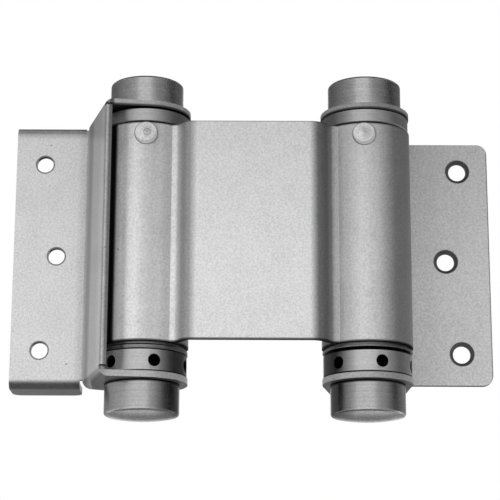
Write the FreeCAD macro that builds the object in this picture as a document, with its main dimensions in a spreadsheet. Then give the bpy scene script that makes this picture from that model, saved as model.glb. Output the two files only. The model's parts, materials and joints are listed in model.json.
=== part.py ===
import FreeCAD, Part
import Sketcher
import math
import os
from FreeCAD import Placement, Rotation, Vector

# Double action cafe hinge, in millimetres.
# X runs from the door leaf to the jamb leaf, Y runs to the rear, Z runs up along the barrels.
# The origin is on the rear face of the jamb leaf, midway between its outer two screw holes.

DRIVING = {
    # Sheet and centre plate
    "sheet": 1.9,
    "barrel_spacing": 68.4,
    "wrap_radius": 13.9,
    "wrap_height": 68.0,
    "web_proud": 1.6,
    "wall_slant": 32.0,
    "crease_bend": 0.5,
    "valley_bend": 0.9,
    "valley_tilt": 6.0,
    "valley_jamb": 39.0,
    "valley_door": 37.0,
    "valley_floor_jamb": 1.5,
    "valley_floor_door": 1.2,
    "crest_jamb": 6.5,
    "crest_door": 3.3,
    "closing_angle": 16.0,
    # Ears, shared by both leaves
    "ear_radius": 13.8,
    "ear_shoulder": 14.0,
    "neck_half": 11.9,
    "ear_bend": 1.0,
    "door_play": 0.45,
    # Jamb leaf
    "jamb_offset": 18.0,
    "jamb_reach": 40.6,
    "jamb_neck_left": 10.5,
    "jamb_neck_right": 12.6,
    "jamb_height": 79.2,
    "jamb_corner": 3.3,
    "hole_spacing": 60.0,
    "hole_lift": 0.5,
    "jamb_hole_inset": 9.6,
    "hole_stagger": 4.4,
    "screw_hole_radius": 2.75,
    "sink_radius": 3.9,
    "sink_angle": 90.0,
    # Door leaf
    "door_gap": 0.3,
    "door_slant": 16.5,
    "strip_front": 14.3,
    "fold_place": 12.6,
    "fold_bend": 0.9,
    "plate_reach": 22.4,
    "plate_height": 84.35,
    "plate_bend": 0.8,
    "lip_depth": 12.9,
    "lip_corner": 3.0,
    "plate_drop": 0.5,
    "door_hole_inset": 9.0,
    "door_hole_radius": 2.6,
    "door_hole_drop": 0.35,
    # Stack on each barrel
    "running": 0.05,
    "hair": 0.02,
    "seat": 0.1,
    "spindle_radius": 4.0,
    "spindle_grip": 6.0,
    "flange_lift": 0.45,
    "flange_height": 4.3,
    "flange_radius": 13.5,
    "flange_edge": 0.4,
    "plug_depth": 13.0,
    "bushing_flange": 0.85,
    "bushing_flange_radius": 12.7,
    "bushing_depth": 6.0,
    "ring_height": 1.6,
    "ring_rim_jamb": 0.55,
    "ring_rim_door": 1.1,
    "ring_rim_lift_jamb": 0.95,
    "ring_rim_lift_door": 0.2,
    "ring_radius": 13.7,
    "ring_hub_radius": 11.2,
    "collar_height": 6.5,
    "collar_radius": 13.45,
    "collar_hub_radius": 10.0,
    "collar_hub_height": 8.0,
    "collar_holes": 6.0,
    "collar_hole_radius": 1.9,
    "collar_hole_depth": 8.0,
    "collar_turn_jamb": 15.5,
    "collar_turn_door": 18.7,
    "cap_radius": 11.4,
    "cap_height": 9.5,
    "cap_edge": 0.7,
    "cap_dome": 1.2,
    # Rivet and spring
    "rivet_drop": 3.5,
    "rivet_head_radius": 3.6,
    "rivet_head_height": 1.15,
    "rivet_rim_rise": 0.25,
    "rivet_shank_radius": 2.0,
    "rivet_depth": 6.0,
    "rivet_shift_jamb": -1.0,
    "rivet_shift_door": 0.65,
    "spring_radius": 7.6,
    "spring_wire": 1.4,
    "spring_turns": 9.0,
    "spring_leg": 4.0,
}

document = FreeCAD.newDocument("cafe_hinge")
sheet = document.addObject("Spreadsheet::Sheet", "sizes")
for row, (name, number) in enumerate(DRIVING.items(), start=1):
    sheet.set("A%d" % row, name)
    sheet.set("B%d" % row, str(number))
    sheet.setAlias("B%d" % row, name)
document.recompute()


class Size:
    """A length or an angle that knows the formula it came from."""

    def __init__(self, number, formula):
        self.number = number
        self.formula = formula

    def __add__(self, other):
        other = as_size(other)
        return Size(self.number + other.number, "(%s + %s)" % (self.formula, other.formula))

    def __sub__(self, other):
        other = as_size(other)
        return Size(self.number - other.number, "(%s - %s)" % (self.formula, other.formula))

    def __mul__(self, other):
        other = as_size(other)
        return Size(self.number * other.number, "(%s * %s)" % (self.formula, other.formula))

    def __truediv__(self, other):
        other = as_size(other)
        return Size(self.number / other.number, "(%s / %s)" % (self.formula, other.formula))

    def __neg__(self):
        return Size(-self.number, "(0 - %s)" % self.formula)

    def __rsub__(self, other):
        return as_size(other) - self

    __radd__ = __add__
    __rmul__ = __mul__


def as_size(thing):
    return thing if isinstance(thing, Size) else Size(float(thing), repr(float(thing)))


def sine(angle):
    angle = as_size(angle)
    return Size(math.sin(math.radians(angle.number)), "sin(%s)" % angle.formula)


def cosine(angle):
    angle = as_size(angle)
    return Size(math.cos(math.radians(angle.number)), "cos(%s)" % angle.formula)


def tangent(angle):
    return sine(angle) / cosine(angle)


def of(name):
    return Size(DRIVING[name], "sizes.%s" % name)


def bind(thing, path, size):
    size = as_size(size)
    thing.setExpression(path, size.formula)


# Heights along a barrel, from the middle of the rolled sheet
WRAP_TOP = of("wrap_height") / 2
WRAP_BOTTOM = -WRAP_TOP
WRAP_BORE = of("wrap_radius") - of("sheet")
FLANGE_BOTTOM = WRAP_TOP + of("flange_lift")
FLANGE_TOP = FLANGE_BOTTOM + of("flange_height")
EAR_TOP_UNDER = FLANGE_TOP + of("seat")
EAR_TOP_OVER = EAR_TOP_UNDER + of("sheet")
BUSHING_BOTTOM = WRAP_BOTTOM - of("bushing_flange")
RING_TOP = BUSHING_BOTTOM - of("seat")
RING_BOTTOM = RING_TOP - of("ring_height")
COLLAR_TOP = RING_BOTTOM - of("seat")
COLLAR_BOTTOM = COLLAR_TOP - of("collar_height")
EAR_LOW_OVER = COLLAR_BOTTOM - of("seat")
EAR_LOW_UNDER = EAR_LOW_OVER - of("sheet")
EAR_MIDDLE = (EAR_TOP_OVER + EAR_LOW_UNDER) / 2
SPINDLE_BORE = of("spindle_radius") + of("running")

# Places of the two barrel axes
JAMB_BACK = of("jamb_offset") + of("sheet")
JAMB_AXIS_X = of("jamb_hole_inset") - of("jamb_reach")
DOOR_AXIS_X = JAMB_AXIS_X - of("barrel_spacing")
AXIS_Y = -JAMB_BACK
AXIS_Z = -(EAR_MIDDLE + of("hole_lift"))


def plane_of(body, role):
    for feature in body.Origin.OriginFeatures:
        if feature.Role == role:
            return feature
    raise RuntimeError("no plane " + role)


def new_body(name, axis_x):
    body = document.addObject("PartDesign::Body", name)
    body.Label = name
    bind(body, ".Placement.Base.x", axis_x)
    bind(body, ".Placement.Base.y", AXIS_Y)
    bind(body, ".Placement.Base.z", AXIS_Z)
    return body


def new_sketch(body, name, role, lift=None, turn=None, rise=None):
    """A sketch on one of the body's own planes. Its origin may be lifted along the plane's normal
    and raised along the sketch's own vertical, and the plane may be turned about that vertical."""
    sketch = body.newObject("Sketcher::SketchObject", name)
    sketch.AttachmentSupport = [(plane_of(body, role), "")]
    sketch.MapMode = "FlatFace"
    if turn is not None:
        sketch.AttachmentOffset = Placement(Vector(), Rotation(Vector(0, 1, 0), turn.number))
        bind(sketch, ".AttachmentOffset.Rotation.Angle", turn)
    if lift is not None:
        bind(sketch, ".AttachmentOffset.Base.z", lift)
    if rise is not None:
        bind(sketch, ".AttachmentOffset.Base.y", rise)
    return sketch


def pin_point(sketch, geometry, end, place):
    """Hold one point of the sketch at a place given by two sizes."""
    for kind, size in zip(("DistanceX", "DistanceY"), place):
        size = as_size(size)
        if abs(size.number) < 1e-9:
            axis = -2 if kind == "DistanceX" else -1
            sketch.addConstraint(Sketcher.Constraint("PointOnObject", geometry, end, axis))
            continue
        constraint = Sketcher.Constraint(kind, -1, 1, geometry, end, size.number)
        number = sketch.addConstraint(constraint)
        bind(sketch, "Constraints[%d]" % number, size)


def arc_centre(start, stop, radius, long_way):
    """Centre of the arc that runs counterclockwise from start to stop."""
    chord = stop - start
    half = chord.Length / 2
    rise = math.sqrt(max(radius * radius - half * half, 0.0))
    left = Vector(-chord.y, chord.x, 0).normalize()
    return start + chord * 0.5 + left * (-rise if long_way else rise)


def outline(sketch, corners):
    """A closed outline. Each corner is (x, y) and may add the arc that follows it:
    (radius, turn, long_way), with turn 1 for counterclockwise and -1 for clockwise."""
    points = [Vector(as_size(c[0]).number, as_size(c[1]).number, 0) for c in corners]
    ends = []
    for number, corner in enumerate(corners):
        start = points[number]
        stop = points[(number + 1) % len(points)]
        if len(corner) == 2:
            piece = sketch.addGeometry(Part.LineSegment(start, stop), False)
            ends.append((piece, 1, 2))
            continue
        radius, turn, long_way = corner[2]
        radius = as_size(radius)
        first, last = (start, stop) if turn > 0 else (stop, start)
        centre = arc_centre(first, last, radius.number, long_way)
        angles = [math.atan2(p.y - centre.y, p.x - centre.x) for p in (first, last)]
        if angles[1] <= angles[0]:
            angles[1] += 2 * math.pi
        circle = Part.Circle(centre, Vector(0, 0, 1), radius.number)
        piece = sketch.addGeometry(Part.ArcOfCircle(circle, angles[0], angles[1]), False)
        ends.append((piece, 1, 2) if turn > 0 else (piece, 2, 1))
        held = sketch.addConstraint(Sketcher.Constraint("Radius", piece, radius.number))
        bind(sketch, "Constraints[%d]" % held, radius)
    for number, corner in enumerate(corners):
        before = ends[number - 1]
        after = ends[number]
        sketch.addConstraint(Sketcher.Constraint("Coincident", before[0], before[2], after[0], after[1]))
        pin_point(sketch, after[0], after[1], corner[:2])
    return sketch


def circle_in(sketch, centre, radius):
    place = Vector(as_size(centre[0]).number, as_size(centre[1]).number, 0)
    radius = as_size(radius)
    piece = sketch.addGeometry(Part.Circle(place, Vector(0, 0, 1), radius.number), False)
    held = sketch.addConstraint(Sketcher.Constraint("Radius", piece, radius.number))
    bind(sketch, "Constraints[%d]" % held, radius)
    if abs(place.x) < 1e-9 and abs(place.y) < 1e-9:
        sketch.addConstraint(Sketcher.Constraint("Coincident", piece, 3, -1, 1))
    else:
        pin_point(sketch, piece, 3, centre)
    return piece


def pad(body, sketch, length, symmetric=False, reverse=False):
    feature = body.newObject("PartDesign::Pad", sketch.Name + "_pad")
    feature.Profile = sketch
    feature.SideType = "Symmetric" if symmetric else "One side"
    feature.Reversed = reverse
    bind(feature, "Length", length)
    document.recompute()
    return feature


def cut(body, sketch, length, symmetric=False, reverse=False):
    """A pocket that has to remove something."""
    before = body.Shape.Volume
    feature = body.newObject("PartDesign::Pocket", sketch.Name + "_cut")
    feature.Profile = sketch
    feature.SideType = "Symmetric" if symmetric else "One side"
    feature.Reversed = reverse
    bind(feature, "Length", length)
    document.recompute()
    if not body.Shape.Volume < before - 1e-6:
        raise RuntimeError("%s cuts nothing" % feature.Name)
    return feature


def turned(name, axis_x, corners):
    """A body turned about the barrel axis from a half section of (radius, height) corners."""
    body = new_body(name, axis_x)
    sketch = outline(new_sketch(body, name + "_section", "XZ_Plane"), corners)
    feature = body.newObject("PartDesign::Revolution", name + "_turned")
    feature.Profile = sketch
    feature.ReferenceAxis = (sketch, ["V_Axis"])
    feature.Angle = 360
    document.recompute()
    return body


def around(turn, across, out):
    """Plan position in a leaf's own directions: across its strip, and out from the barrel axis."""
    return (across * cosine(turn) - out * sine(turn), across * sine(turn) + out * cosine(turn))


# Centre plate: one sheet. From the flat web each end bends back down a slanted wall to a narrow
# valley floor, then runs over the front of its barrel and all the way round, and closes behind the floor.
def plate_end(side, name):
    """Outline corners from the web's front face round one barrel to the web's rear face."""
    axis_x = of("barrel_spacing") / 2
    radius = of("wrap_radius")
    front = radius + of("web_proud")
    thick = of("sheet")
    slant = of("wall_slant")
    tilt = of("valley_tilt")
    angle = of("valley_" + name)
    closing = angle + of("closing_angle")
    floor = of("valley_floor_" + name)
    crease = of("crease_bend")
    valley = of("valley_bend")
    crest = of("crest_" + name)
    crease_x = (radius + crease) * sine(angle)
    crease_y = -((radius + crease) * cosine(angle))
    valley_x = crease_x + floor * cosine(tilt) - (valley - crease) * sine(tilt)
    valley_y = crease_y - floor * sine(tilt) - (valley - crease) * cosine(tilt)
    crest_y = crest - front
    crest_x = valley_x + (valley + crest - sine(slant) * (crest_y - valley_y)) / cosine(slant)

    def place(across, y):
        return ((axis_x - across) * side, y)

    def on_wall(x, y, distance):
        return place(x + distance * cosine(slant), y + distance * sine(slant))

    def on_floor(x, y, distance):
        return place(x + distance * sine(tilt), y + distance * cosine(tilt))

    def on_barrel(distance, turn):
        return place(distance * sine(turn), -(distance * cosine(turn)))

    return [
        place(crest_x, -front) + ((crest, side, False),),
        on_wall(crest_x, crest_y, -crest),
        on_wall(valley_x, valley_y, valley) + ((valley, -side, False),),
        on_floor(valley_x, valley_y, valley),
        on_floor(crease_x, crease_y, crease) + ((crease, -side, False),),
        on_barrel(radius, angle) + ((radius, side, True),),
        on_barrel(radius, closing),
        on_barrel(WRAP_BORE, closing) + ((WRAP_BORE, -side, True),),
        on_barrel(WRAP_BORE, angle) + ((crease + thick, side, False),),
        on_floor(crease_x, crease_y, crease + thick),
        on_floor(valley_x, valley_y, valley + thick) + ((valley + thick, side, False),),
        on_wall(valley_x, valley_y, valley + thick),
        on_wall(crest_x, crest_y, thick - crest) + ((crest - thick, -side, False),),
        place(crest_x, thick - front),
    ]


def mirrored_run(corners):
    """The same run of corners walked backwards, with each arc handed to its other end."""
    run = []
    for number in range(len(corners) - 1, -1, -1):
        corner = corners[number][:2]
        before = corners[number - 1] if number else ()
        if len(before) == 3:
            radius, turn, long_way = before[2]
            corner = corner + ((radius, -turn, long_way),)
        run.append(corner)
    return run


def rivet_places():
    return ((1, "jamb"), (-1, "door"))


def make_centre_plate():
    body = new_body("centre_plate", (JAMB_AXIS_X + DOOR_AXIS_X) / 2)
    corners = plate_end(1, "jamb") + mirrored_run(plate_end(-1, "door"))
    section = outline(new_sketch(body, "centre_section", "XY_Plane"), corners)
    pad(body, section, of("wrap_height"), symmetric=True)
    holes = new_sketch(body, "rivet_holes", "XZ_Plane")
    for side, name in rivet_places():
        place_x = of("barrel_spacing") / 2 * side + of("rivet_shift_" + name)
        circle_in(holes, (place_x, WRAP_TOP - of("rivet_drop")), of("rivet_shank_radius") + of("running"))
    cut(body, holes, of("wrap_radius") + of("sheet"), reverse=True)
    return body


# Ears: the strip of a leaf turned over the top and the bottom of its barrel, with round ends
def add_ears(body, name, turn, offset, neck, play=0):
    """Both bends and both ears of a leaf whose strip lies at an offset behind the barrel axis.
    The neck reaches to two sides of the axis, and the top ear may sit higher by some play."""
    left, right = neck
    near = offset
    far = offset + of("sheet")
    inner = of("ear_bend")
    outer = inner + of("sheet")
    flat = near - inner
    stub = flat - of("sheet")
    top, top_under = EAR_TOP_OVER + play, EAR_TOP_UNDER + play
    low, low_over = EAR_LOW_UNDER, EAR_LOW_OVER
    shift = (right - left) / 2 if name == "jamb" else None
    section = new_sketch(body, name + "_ear_section", "YZ_Plane", turn=turn, lift=shift)
    outline(section, [
        (stub, top),
        (stub, top_under),
        (flat, top_under, (inner, -1, False)),
        (near, top_under - inner),
        (near, low_over + inner, (inner, -1, False)),
        (flat, low_over),
        (stub, low_over),
        (stub, low),
        (flat, low, (outer, 1, False)),
        (far, low + outer),
        (far, top - outer, (outer, 1, False)),
        (flat, top),
    ])
    pad(body, section, left + right, symmetric=True)
    shoulder = (of("ear_radius") * cosine(of("ear_shoulder")), of("ear_radius") * sine(of("ear_shoulder")))
    for level, height in (("top", top_under), ("low", low)):
        ear = new_sketch(body, "%s_%s_ear" % (name, level), "XY_Plane", lift=height)
        outline(ear, [
            around(turn, -shoulder[0], shoulder[1]) + ((of("ear_radius"), 1, True),),
            around(turn, shoulder[0], shoulder[1]),
            around(turn, right, flat),
            around(turn, -left, flat),
        ])
        pad(body, ear, of("sheet"))
    bore = new_sketch(body, name + "_ear_bores", "XY_Plane")
    circle_in(bore, (0, 0), SPINDLE_BORE)
    return bore


def cut_ear_bores(body, bore):
    reach = (EAR_TOP_OVER - EAR_LOW_UNDER) * 2
    cut(body, bore, reach, symmetric=True)


# Jamb leaf: a flat leaf behind its barrel, with three countersunk screw holes
def make_jamb_leaf():
    body = new_body("jamb_leaf", JAMB_AXIS_X)
    right = of("jamb_reach")
    left = -of("jamb_neck_left")
    top = EAR_MIDDLE + of("jamb_height") / 2
    low = EAR_MIDDLE - of("jamb_height") / 2
    corner = of("jamb_corner")
    flat = new_sketch(body, "jamb_flat", "XZ_Plane", lift=-JAMB_BACK)
    outline(flat, [
        (left, low),
        (right - corner, low, (corner, 1, False)),
        (right, low + corner),
        (right, top - corner, (corner, 1, False)),
        (right - corner, top),
        (left, top),
    ])
    pad(body, flat, of("sheet"))
    neck = (of("jamb_neck_left"), of("jamb_neck_right"))
    bores = add_ears(body, "jamb", as_size(0), of("jamb_offset"), neck)
    cut_ear_bores(body, bores)
    half = of("hole_spacing") / 2
    hole_x = right - of("jamb_hole_inset")
    hole_z = EAR_MIDDLE + of("hole_lift")
    places = [(hole_x, hole_z + half), (hole_x, hole_z - half), (hole_x - of("hole_stagger"), hole_z)]
    holes = new_sketch(body, "jamb_holes", "XZ_Plane", lift=-of("jamb_offset"))
    for place in places:
        circle_in(holes, place, of("screw_hole_radius"))
    document.recompute()
    screw = body.newObject("PartDesign::Hole", "jamb_screw_holes")
    screw.Profile = holes
    document.recompute()
    screw.Threaded = False
    screw.DepthType = "ThroughAll"
    screw.HoleCutType = "Countersink"
    screw.HoleCutCustomValues = True
    bind(screw, "Diameter", of("screw_hole_radius") * 2)
    bind(screw, "HoleCutDiameter", of("sink_radius") * 2)
    bind(screw, "HoleCutCountersinkAngle", of("sink_angle"))
    document.recompute()
    return body


# Door leaf: a strip beside its barrel, folded into a plate whose top and bottom edges are bent back
def make_door_leaf():
    body = new_body("door_leaf", DOOR_AXIS_X)
    turn = of("door_slant") + 90
    near = of("wrap_radius") + of("door_gap")
    far = near + of("sheet")
    inner = of("fold_bend")
    outer = inner + of("sheet")
    swing = 90 - of("door_slant")
    fold_x = of("fold_place") - inner * tangent(swing / 2)
    fold_y = far + inner
    ear_outer = of("ear_bend") + of("sheet")
    flat_top = EAR_TOP_OVER + of("door_play") - ear_outer
    flat_low = EAR_LOW_UNDER + ear_outer
    corner_x, corner_y = around(turn, of("fold_place"), far)
    plate_y = corner_y
    plate_left = corner_x - of("plate_reach")

    def on_fold(radius, angle):
        return around(turn, fold_x + radius * sine(angle), fold_y - radius * cosine(angle))

    plate_right = on_fold(inner, swing)[0]
    strip = new_sketch(body, "door_strip", "XY_Plane", lift=flat_low)
    outline(strip, [
        around(turn, -of("strip_front"), near),
        around(turn, fold_x, near) + ((outer, 1, False),),
        on_fold(outer, swing),
        on_fold(inner, swing) + ((inner, -1, False),),
        around(turn, fold_x, far),
        around(turn, -of("strip_front"), far),
    ])
    pad(body, strip, flat_top - flat_low)
    neck = (of("neck_half"), of("neck_half"))
    bores = add_ears(body, "door", turn, near, neck, of("door_play"))
    cut_ear_bores(body, bores)
    lip_inner = of("plate_bend")
    lip_outer = lip_inner + of("sheet")
    middle = EAR_MIDDLE - of("plate_drop")
    top = middle + of("plate_height") / 2
    low = middle - of("plate_height") / 2
    back = plate_y + of("sheet")
    bend_back = plate_y + lip_outer
    section = new_sketch(body, "door_plate_section", "YZ_Plane", lift=plate_left)
    outline(section, [
        (plate_y, low + lip_outer, (lip_outer, 1, False)),
        (bend_back, low),
        (bend_back, low + of("sheet"), (lip_inner, -1, False)),
        (back, low + lip_outer),
        (back, top - lip_outer, (lip_inner, -1, False)),
        (bend_back, top - of("sheet")),
        (bend_back, top, (lip_outer, 1, False)),
        (plate_y, top - lip_outer),
    ])
    pad(body, section, plate_right - plate_left)
    edge = plate_y + of("lip_depth")
    corner = of("lip_corner")
    for name, level in (("low", low), ("top", top - of("sheet"))):
        lip = new_sketch(body, "door_%s_lip" % name, "XY_Plane", lift=level)
        outline(lip, [
            (plate_left, bend_back),
            (plate_right, bend_back),
            (plate_right, edge - corner, (corner, 1, False)),
            (plate_right - corner, edge),
            (plate_left + corner, edge, (corner, 1, False)),
            (plate_left, edge - corner),
        ])
        pad(body, lip, of("sheet"))
    half = of("hole_spacing") / 2
    hole_x = plate_left + of("door_hole_inset")
    holes = new_sketch(body, "door_holes", "XZ_Plane", lift=-plate_y)
    hole_z = middle - of("door_hole_drop")
    places = [(hole_x, hole_z + half), (hole_x, hole_z - half), (hole_x + of("hole_stagger"), hole_z)]
    for place in places:
        circle_in(holes, place, of("door_hole_radius"))
    cut(body, holes, of("sheet") * 2, symmetric=True)
    return body


# Turned pieces, repeated on both barrels
def cap_corners(base, up, play=0):
    """Half section of a domed end cap that sits on an ear at height base. It is shorter by the play."""
    bore = of("spindle_radius") + of("hair")
    radius = of("cap_radius")
    edge = of("cap_edge")
    flat = radius - edge
    dome = of("cap_dome")
    dome_radius = (flat * flat + dome * dome) / (dome * 2)
    side = base + (of("cap_height") - play) * up
    return [
        (bore, base),
        (radius, base),
        (radius, side - edge * up, (edge, up, False)),
        (flat, side, (dome_radius, up, False)),
        (0, side + dome * up),
        (0, base + of("spindle_grip") * up),
        (bore, base + of("spindle_grip") * up),
    ]


def plug_corners():
    edge = of("flange_edge")
    radius = of("flange_radius")
    body_radius = WRAP_BORE - of("running")
    bottom = FLANGE_BOTTOM - of("plug_depth")
    return [
        (SPINDLE_BORE, bottom),
        (body_radius, bottom),
        (body_radius, FLANGE_BOTTOM),
        (radius - edge, FLANGE_BOTTOM),
        (radius, FLANGE_BOTTOM + edge),
        (radius, FLANGE_TOP),
        (SPINDLE_BORE, FLANGE_TOP),
    ]


def bushing_corners():
    bore = of("collar_hub_radius") + of("running")
    body_radius = WRAP_BORE - of("running")
    return [
        (bore, BUSHING_BOTTOM),
        (of("bushing_flange_radius"), BUSHING_BOTTOM),
        (of("bushing_flange_radius"), WRAP_BOTTOM),
        (body_radius, WRAP_BOTTOM),
        (body_radius, WRAP_BOTTOM + of("bushing_depth")),
        (bore, WRAP_BOTTOM + of("bushing_depth")),
    ]


def ring_corners(side):
    bore = of("collar_hub_radius") + of("running") * 2
    rim_low = RING_BOTTOM + of("ring_rim_lift_" + side)
    rim_top = rim_low + of("ring_rim_" + side)
    hub = of("ring_hub_radius")
    return [
        (bore, RING_BOTTOM),
        (hub, RING_BOTTOM),
        (hub, rim_low),
        (of("ring_radius"), rim_low),
        (of("ring_radius"), rim_top),
        (hub, rim_top),
        (hub, RING_TOP),
        (bore, RING_TOP),
    ]


def collar_corners():
    return [
        (SPINDLE_BORE, COLLAR_BOTTOM),
        (of("collar_radius"), COLLAR_BOTTOM),
        (of("collar_radius"), COLLAR_TOP),
        (of("collar_hub_radius"), COLLAR_TOP),
        (of("collar_hub_radius"), COLLAR_TOP + of("collar_hub_height")),
        (SPINDLE_BORE, COLLAR_TOP + of("collar_hub_height")),
    ]


def spindle_corners(play):
    radius = of("spindle_radius")
    low = EAR_LOW_UNDER - of("spindle_grip") + of("seat")
    top = EAR_TOP_OVER + play + of("spindle_grip") - of("seat")
    return [(0, low), (radius, low), (radius, top), (0, top)]


LEG_RADIUS = of("spring_wire") + of("running")
SPRING_LOW = COLLAR_TOP + of("collar_hub_height") + of("seat") + of("spring_wire")
SPRING_TOP = FLANGE_BOTTOM - of("plug_depth") - of("seat") - of("spring_wire")


def leg_hole(body, name, level, upward, turn=0):
    """A hole for one leg of the spring, cut along the barrel."""
    sketch = new_sketch(body, name, "XY_Plane", lift=level)
    place = (of("spring_radius") * cosine(turn), of("spring_radius") * sine(turn))
    circle_in(sketch, place, LEG_RADIUS)
    cut(body, sketch, of("spring_leg") + of("spring_wire") + of("seat"), reverse=upward)


def make_plug(name, axis_x, shift, turn):
    body = turned(name, axis_x, plug_corners())
    blind = new_sketch(body, name + "_rivet_hole", "XZ_Plane", lift=of("wrap_radius") - of("rivet_depth"))
    circle_in(blind, (shift, WRAP_TOP - of("rivet_drop")), of("rivet_shank_radius") + of("running"))
    cut(body, blind, of("wrap_radius"), reverse=True)
    leg_hole(body, name + "_leg_hole", FLANGE_BOTTOM - of("plug_depth"), True, turn)
    return body


def make_collar(name, axis_x, turn):
    body = turned(name, axis_x, collar_corners())
    level = (COLLAR_TOP + COLLAR_BOTTOM) / 2
    sketch = new_sketch(body, name + "_bar_hole", "XZ_Plane", lift=of("collar_radius") - of("collar_hole_depth"))
    circle_in(sketch, (0, level), of("collar_hole_radius"))
    bar_hole = cut(body, sketch, of("collar_hole_depth") * 2, reverse=True)
    pattern = body.newObject("PartDesign::PolarPattern", name + "_bar_holes")
    pattern.Originals = [bar_hole]
    pattern.Axis = (plane_of(body, "Z_Axis"), [""])
    pattern.Angle = 360
    bind(pattern, "Occurrences", of("collar_holes"))
    body.Tip = pattern
    document.recompute()
    hub_top = COLLAR_TOP + of("collar_hub_height")
    leg_hole(body, name + "_leg_hole", hub_top, False)
    body.Placement.Rotation = Rotation(Vector(0, 0, 1), turn.number)
    bind(body, ".Placement.Rotation.Angle", turn)
    return body


def make_spring(name, axis_x, turn):
    """A torsion spring with a straight leg at each end, along the barrel."""
    body = new_body(name, axis_x)
    wire = new_sketch(body, name + "_wire", "XZ_Plane")
    circle_in(wire, (of("spring_radius"), SPRING_LOW), of("spring_wire"))
    coil = body.newObject("PartDesign::AdditiveHelix", name + "_coil")
    coil.Profile = wire
    coil.ReferenceAxis = (wire, ["V_Axis"])
    coil.Mode = "height-turns-angle"
    bind(coil, "Turns", of("spring_turns"))
    bind(coil, "Height", SPRING_TOP - SPRING_LOW)
    document.recompute()
    for end, level, reverse in (("low", SPRING_LOW, True), ("top", SPRING_TOP, False)):
        leg = new_sketch(body, "%s_%s_leg" % (name, end), "XY_Plane", lift=level)
        circle_in(leg, (of("spring_radius"), 0), of("spring_wire"))
        pad(body, leg, of("spring_leg") + of("spring_wire"), reverse=reverse)
    body.Placement.Rotation = Rotation(Vector(0, 0, 1), turn.number)
    bind(body, ".Placement.Rotation.Angle", turn)
    return body


def make_rivet(name, axis_x, shift):
    """A domed rivet that pins the plug. Its head is cut underneath to the barrel's curve."""
    body = new_body(name, axis_x)
    level = WRAP_TOP - of("rivet_drop")
    head = of("rivet_head_radius")
    front = of("wrap_radius")
    rim = front + of("rivet_rim_rise")
    tip = front + of("rivet_head_height")
    dome = (head * head + (tip - rim) * (tip - rim)) / ((tip - rim) * 2)
    section = new_sketch(body, name + "_head", "YZ_Plane", lift=shift, rise=level)
    outline(section, [
        (-(front - of("sheet")), 0),
        (-tip, 0, (dome, 1, False)),
        (-rim, head),
        (-(front - of("sheet")), head),
    ])
    feature = body.newObject("PartDesign::Revolution", name + "_head_turned")
    feature.Profile = section
    feature.ReferenceAxis = (section, ["H_Axis"])
    feature.Angle = 360
    document.recompute()
    under = new_sketch(body, name + "_under", "XY_Plane", lift=level)
    circle_in(under, (0, 0), front + of("hair"))
    cut(body, under, head * 3, symmetric=True)
    base = front - of("rivet_depth") + of("seat")
    shank = new_sketch(body, name + "_shank", "XZ_Plane", lift=base)
    circle_in(shank, (shift, level), of("rivet_shank_radius"))
    pad(body, shank, front + of("hair") * 2 - base)
    return body


PIECES = {}


def build():
    PIECES["centre_plate"] = make_centre_plate()
    PIECES["jamb_leaf"] = make_jamb_leaf()
    PIECES["door_leaf"] = make_door_leaf()
    for side, axis_x, play in (("jamb", JAMB_AXIS_X, as_size(0)), ("door", DOOR_AXIS_X, of("door_play"))):
        turn = of("collar_turn_" + side)
        shift = of("rivet_shift_" + side)
        PIECES[side + "_spindle"] = turned(side + "_spindle", axis_x, spindle_corners(play))
        cap = cap_corners(EAR_TOP_OVER + play, 1, play)
        PIECES[side + "_top_cap"] = turned(side + "_top_cap", axis_x, cap)
        PIECES[side + "_bottom_cap"] = turned(side + "_bottom_cap", axis_x, cap_corners(EAR_LOW_UNDER, -1))
        PIECES[side + "_plug"] = make_plug(side + "_plug", axis_x, shift, turn)
        PIECES[side + "_rivet"] = make_rivet(side + "_rivet", axis_x, shift)
        PIECES[side + "_bushing"] = turned(side + "_bushing", axis_x, bushing_corners())
        PIECES[side + "_thrust_ring"] = turned(side + "_thrust_ring", axis_x, ring_corners(side))
        PIECES[side + "_collar"] = make_collar(side + "_collar", axis_x, turn)
        PIECES[side + "_spring"] = make_spring(side + "_spring", axis_x, turn)


build()
document.recompute()
for thing in document.Objects:
    if "Invalid" in thing.State or "Error" in thing.State:
        raise RuntimeError("failed: %s %s" % (thing.Name, thing.State))
os.makedirs("parts", exist_ok=True)
for name, body in PIECES.items():
    shape = body.Shape
    if shape.isNull() or not shape.isValid():
        raise RuntimeError("bad shape: " + name)
    shape.exportStep("parts/%s.step" % name)
    print(name, len(shape.Solids), round(shape.Volume, 1), shape.BoundBox)
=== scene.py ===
# %% [markdown]
# # A double action cafe hinge, lit as in a product photograph
# A cafe hinge has two barrels joined by one centre plate, so that the door can swing both ways.
# The imported CAD model already has every piece at its real size and place. This lesson gives those
# pieces softened edges, metal finishes, the small marks of a used workshop part, painted shade and
# painted highlights, and a light tent.

# %% Load the frame
import json
import math
from collections import namedtuple

import bmesh
import bpy
from mathutils import Matrix, Vector
from mathutils.bvhtree import BVHTree


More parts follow.
